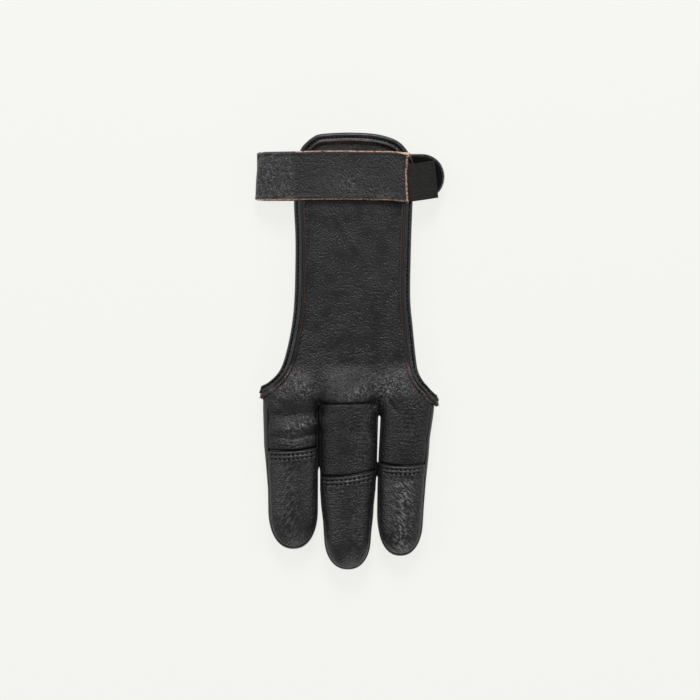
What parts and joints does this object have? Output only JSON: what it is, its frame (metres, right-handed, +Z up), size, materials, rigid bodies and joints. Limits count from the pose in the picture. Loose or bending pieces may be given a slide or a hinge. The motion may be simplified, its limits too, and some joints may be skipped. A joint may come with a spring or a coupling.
{
  "type": "archery glove",
  "caption": "Black leather archery shooting glove with finger stalls, a bound open back panel and a hook-and-loop wrist strap, lying palm down.",
  "frame": {"origin": "centre of the glove's outline, on the surface that it lies on", "axes": "+Z up out of the back of the hand, +Y from the fingertips to the wrist, +X to the right seen from above with the fingertips towards the viewer"},
  "size_m": [0.0939, 0.2183, 0.0158],
  "materials": {
    "panel_leather": "black full-grain leather, softly pebbled, satin",
    "tip_leather": "black smooth leather with a fine slanting grain, satin",
    "finger_leather": "black soft leather, satin",
    "binding_leather": "thin black leather binding with a stitched groove",
    "strap_leather": "black leather with raw tan cut edges",
    "hook_tape": "black hook tape",
    "elastic": "black woven elastic webbing"
  },
  "bodies": {
    "root": {"back_panel": "panel_leather", "middle_finger_back": "panel_leather", "tip_cover_first": "tip_leather", "tip_cover_middle": "tip_leather", "tip_cover_third": "tip_leather", "finger_front_first": "finger_leather", "finger_front_middle": "finger_leather", "finger_front_third": "finger_leather", "edge_binding": "binding_leather", "mouth_binding": "binding_leather", "wrist_strap": "strap_leather", "hook_patch": "hook_tape", "elastic_band": "elastic"}
  },
  "joints": []
}
